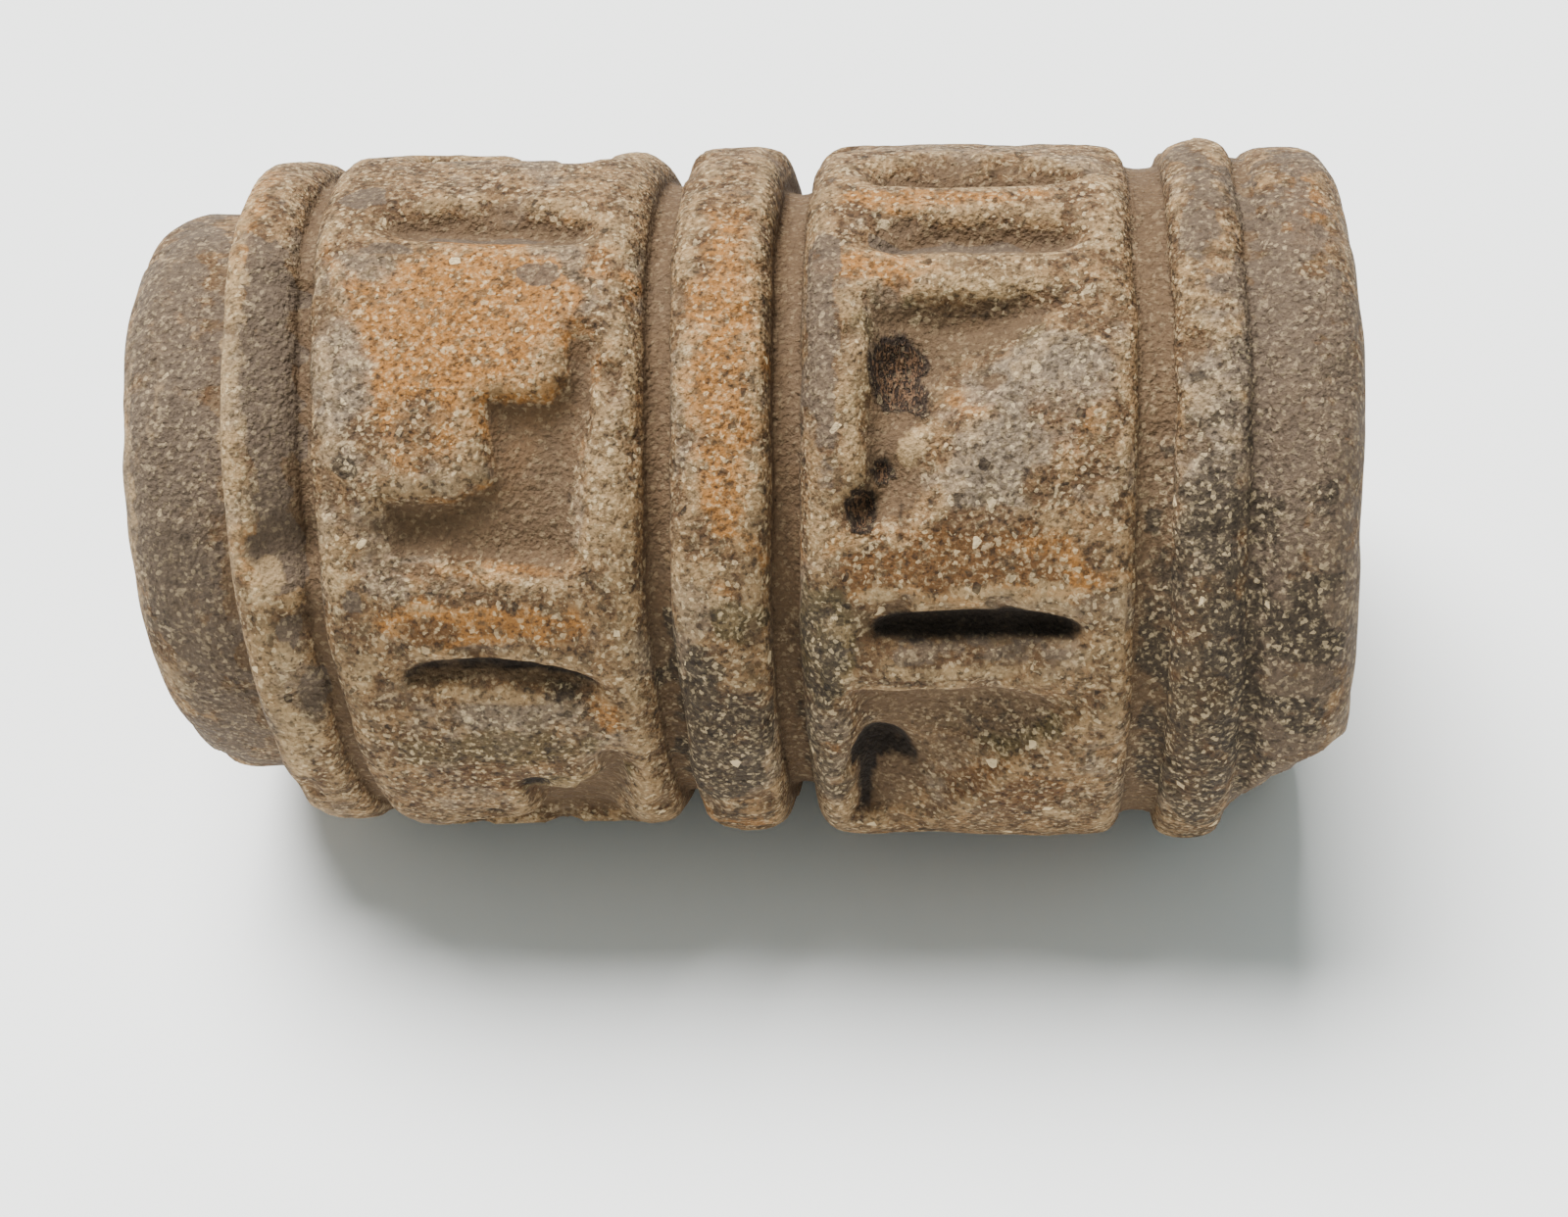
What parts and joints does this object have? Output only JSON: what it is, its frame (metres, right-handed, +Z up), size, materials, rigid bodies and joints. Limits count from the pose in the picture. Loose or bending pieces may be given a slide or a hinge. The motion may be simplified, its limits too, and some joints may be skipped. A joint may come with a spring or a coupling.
{
  "type": "roller stamp",
  "caption": "Carved cylindrical roller stamp of fired clay with raised rings and two panels of stepped and wedge-shaped recesses, worn and chipped, lying on its side",
  "frame": {"origin": "on the ground plane under the middle of the roller, on the small flat that it lies on", "axes": "+X along the roller's axis, from the collar end to the chipped end; +Z up; -Y towards the viewer"},
  "size_m": [0.0771, 0.0454, 0.0446],
  "materials": {
    "fired_clay": "matt, gritty and worn, with dust in the hollows"
  },
  "bodies": {
    "root": {"roller_stamp": "fired_clay"}
  },
  "joints": []
}
